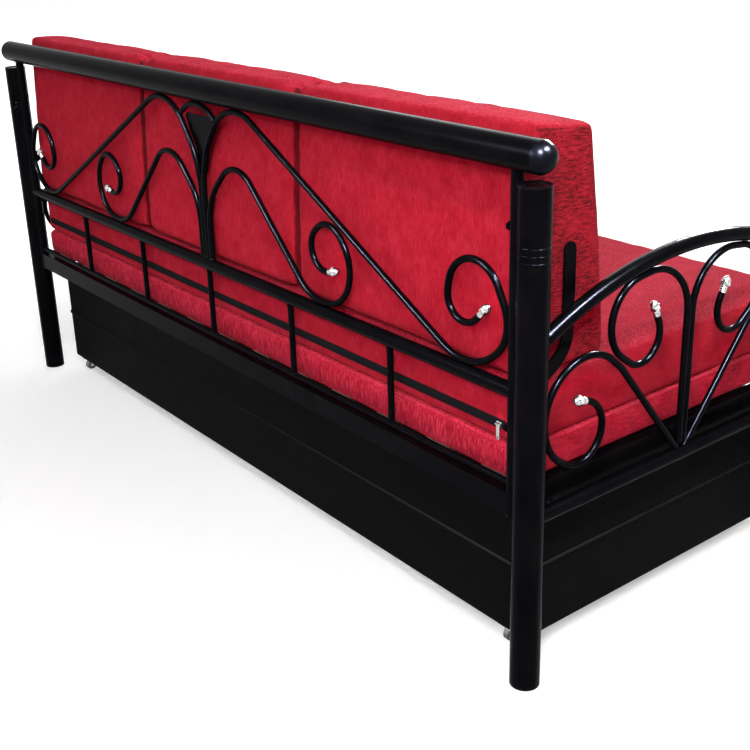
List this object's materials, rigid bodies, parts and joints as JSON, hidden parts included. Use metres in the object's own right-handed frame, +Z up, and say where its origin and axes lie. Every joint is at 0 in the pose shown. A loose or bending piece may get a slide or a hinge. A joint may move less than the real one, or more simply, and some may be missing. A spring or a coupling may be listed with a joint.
{
  "type": "sofa bed",
  "caption": "Scrolled steel sofa bed with arched arms, red seat and back cushions, and a storage box that rolls out from under the seat.",
  "frame": {"origin": "on the floor, at the middle between the four posts", "axes": "+X along the sofa to the sitter's left, +Y to the rear, +Z up"},
  "size_m": [1.966, 0.8007, 0.9254],
  "materials": {
    "black_paint": "satin powder coat",
    "black_plastic": "moulded, slightly shiny",
    "chrome": "polished",
    "red_fabric": "chenille with a streaky pile",
    "black_tape": "woven tape",
    "slat_wood": "raw plywood",
    "black_board": "black laminate",
    "black_rubber": "matt"
  },
  "bodies": {
    "frame": {"rear_post_left": "black_paint", "rear_post_right": "black_paint", "front_post_left": "black_paint", "front_post_right": "black_paint", "post_caps": "black_plastic", "post_feet": "black_plastic", "top_tube": "black_paint", "top_tube_caps": "black_plastic", "side_bar_left": "black_paint", "side_bar_right": "black_paint", "lower_rail": "black_paint", "balusters": "black_paint", "bottom_rod": "black_paint", "rear_rail": "black_paint", "outer_scroll_left": "black_paint", "outer_scroll_right": "black_paint", "inner_scroll_left": "black_paint", "inner_scroll_right": "black_paint", "centre_arch": "black_paint", "centre_plate": "black_paint", "back_finials": "chrome", "arm_tube_left": "black_paint", "arm_tube_right": "black_paint", "arm_rail_left": "black_paint", "arm_rail_right": "black_paint", "arm_scrolls_left": "black_paint", "arm_scrolls_right": "black_paint", "arm_loops_left": "black_paint", "arm_loops_right": "black_paint", "arm_finials": "chrome", "cushion_stops": "black_paint", "frame_bolts": "black_paint", "seat_front_rail": "black_paint", "seat_rail_left": "black_paint", "seat_rail_right": "black_paint", "slat_ledges": "black_paint", "seat_slats": "slat_wood", "lower_pad": "red_fabric", "upper_mattress": "red_fabric", "zip_tape": "black_tape", "back_cushion": "red_fabric"},
    "storage_box": {"box_rear": "black_board", "box_front": "black_board", "box_side_left": "black_board", "box_side_right": "black_board", "box_floor": "black_board", "box_beads": "black_board", "lid_ledges": "slat_wood", "box_lid_left": "black_board", "box_lid_right": "black_board", "pull_handles": "chrome", "guide_studs": "black_plastic", "caster_brackets": "chrome"},
    "zip_slider": {"zip_slider": "chrome"},
    "zip_tab": {"zip_tab": "chrome"},
    "caster_wheel_1": {"caster_wheel_1": "black_rubber"},
    "caster_wheel_2": {"caster_wheel_2": "black_rubber"},
    "caster_wheel_3": {"caster_wheel_3": "black_rubber"},
    "caster_wheel_4": {"caster_wheel_4": "black_rubber"}
  },
  "joints": [
    {"name": "box_slide", "type": "slide", "parent": "frame", "child": "storage_box", "axis": [0, -1, 0], "range_m": [0, 0.7]},
    {"name": "zip_slide", "type": "slide", "parent": "frame", "child": "zip_slider", "axis": [1, 0, 0], "range_m": [0, 1.738]},
    {"name": "zip_tab_swing", "type": "hinge", "parent": "zip_slider", "child": "zip_tab", "pos_m": [-0.869, 0.36385, 0.4406], "axis": [1, 0, 0], "range_deg": [0, 160]},
    {"name": "caster_wheel_1_turn", "type": "hinge", "parent": "storage_box", "child": "caster_wheel_1", "pos_m": [0.85, 0.308, 0.014], "axis": [1, 0, 0], "continuous": true},
    {"name": "caster_wheel_2_turn", "type": "hinge", "parent": "storage_box", "child": "caster_wheel_2", "pos_m": [-0.85, 0.308, 0.014], "axis": [1, 0, 0], "continuous": true},
    {"name": "caster_wheel_3_turn", "type": "hinge", "parent": "storage_box", "child": "caster_wheel_3", "pos_m": [0.85, -0.352, 0.014], "axis": [1, 0, 0], "continuous": true},
    {"name": "caster_wheel_4_turn", "type": "hinge", "parent": "storage_box", "child": "caster_wheel_4", "pos_m": [-0.85, -0.352, 0.014], "axis": [1, 0, 0], "continuous": true}
  ]
}
